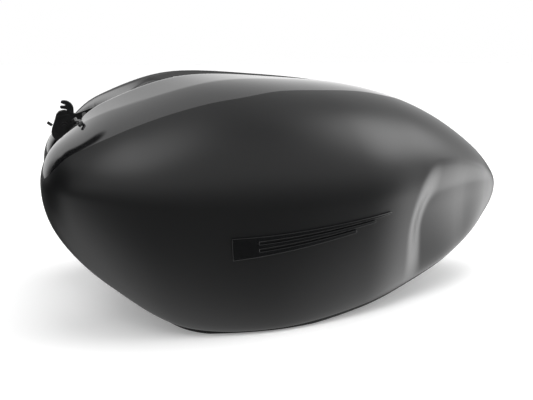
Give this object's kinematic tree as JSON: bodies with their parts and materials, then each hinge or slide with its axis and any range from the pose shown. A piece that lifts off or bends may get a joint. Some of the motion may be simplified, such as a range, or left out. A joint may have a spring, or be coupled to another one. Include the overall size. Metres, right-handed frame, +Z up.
{
  "type": "motorcycle fuel tank",
  "caption": "Motorcycle fuel tank with two lobes over a frame tunnel, a steering head recess, a hinged locking filler cap and a fuel pump plate.",
  "frame": {"origin": "middle of the tank's length and width, at the flat bottom of the seam flanges", "axes": "+X towards the seat, -X towards the steering head, +Y to the rider's right, +Z up"},
  "size_m": [0.6421, 0.4092, 0.2918],
  "materials": {
    "satin_black": "satin",
    "gloss_black": "gloss",
    "primer": "matte",
    "cast_alloy": "as cast",
    "dark_alloy": "anodised",
    "zinc_steel": "zinc plated",
    "rubber": "matte",
    "black_plastic": "moulded",
    "pale_plastic": "moulded"
  },
  "bodies": {
    "tank": {"left_side_shell": "satin_black", "right_side_shell": "satin_black", "head_recess_wall": "gloss_black", "centre_channel_panel": "gloss_black", "tunnel_pan": "primer", "seam_flange_left": "satin_black", "seam_flange_right": "satin_black", "badge_left": "satin_black", "badge_right": "satin_black", "filler_neck": "primer", "cap_gasket": "rubber", "cap_ring": "gloss_black", "cap_hinge_pin": "zinc_steel", "cap_screw_1": "zinc_steel", "cap_screw_2": "zinc_steel", "cap_screw_3": "zinc_steel", "cap_screw_4": "zinc_steel", "cap_screw_5": "zinc_steel", "cap_screw_6": "zinc_steel", "vent_pipe": "zinc_steel", "slosh_baffle": "primer", "pump_stud_ring": "zinc_steel", "pump_gasket": "rubber", "pump_plate": "cast_alloy", "pump_cradle": "black_plastic", "fuel_pump": "zinc_steel", "pump_strainer": "pale_plastic", "pump_bolt_1": "zinc_steel", "pump_bolt_2": "zinc_steel", "pump_bolt_3": "zinc_steel", "pump_bolt_4": "zinc_steel", "pump_bolt_5": "zinc_steel", "fuel_outlet": "black_plastic", "pump_connector": "black_plastic", "level_sender": "pale_plastic", "front_mount_left": "primer", "front_mount_right": "primer", "front_bush_left": "rubber", "front_bush_right": "rubber", "front_sleeve_left": "zinc_steel", "front_sleeve_right": "zinc_steel", "rear_mount": "primer", "rear_bush": "rubber", "rear_sleeve": "zinc_steel", "guide_strap": "black_plastic", "guide_screw_1": "zinc_steel", "guide_screw_2": "zinc_steel", "guide_block": "black_plastic", "guide_hook": "black_plastic", "guide_pin": "black_plastic", "guide_clip": "black_plastic"},
    "lid": {"cap_lid": "gloss_black", "lid_seal": "rubber"},
    "lock": {"lock_plug": "zinc_steel"},
    "latch": {"cap_latch": "zinc_steel"},
    "flap": {"key_flap": "dark_alloy"},
    "float_lever": {"float_arm": "zinc_steel", "float": "black_plastic"}
  },
  "joints": [
    {"name": "cap_hinge", "type": "hinge", "parent": "tank", "child": "lid", "pos_m": [-0.1408, 0, 0.2814], "axis": [0, -1, 0], "range_deg": [0, 95]},
    {"name": "lock_turn", "type": "hinge", "parent": "lid", "child": "lock", "pos_m": [-0.0778, 0, 0.281], "axis": [0, 0, 1], "range_deg": [0, 90]},
    {"name": "latch_slide", "type": "slide", "parent": "lid", "child": "latch", "axis": [-1, 0, 0], "range_m": [0, 0.005]},
    {"name": "key_flap_turn", "type": "hinge", "parent": "lid", "child": "flap", "pos_m": [-0.0778, 0.012, 0.2842], "axis": [0, 0, -1], "range_deg": [0, 100]},
    {"name": "float_arm_hinge", "type": "hinge", "parent": "tank", "child": "float_lever", "pos_m": [-0.0248, -0.128, 0.096], "axis": [0, -1, 0], "range_deg": [0, 65]}
  ],
  "couplings": [
    {"joint": "latch_slide", "follows": "lock_turn", "m_per_rad": 0.003183}
  ]
}
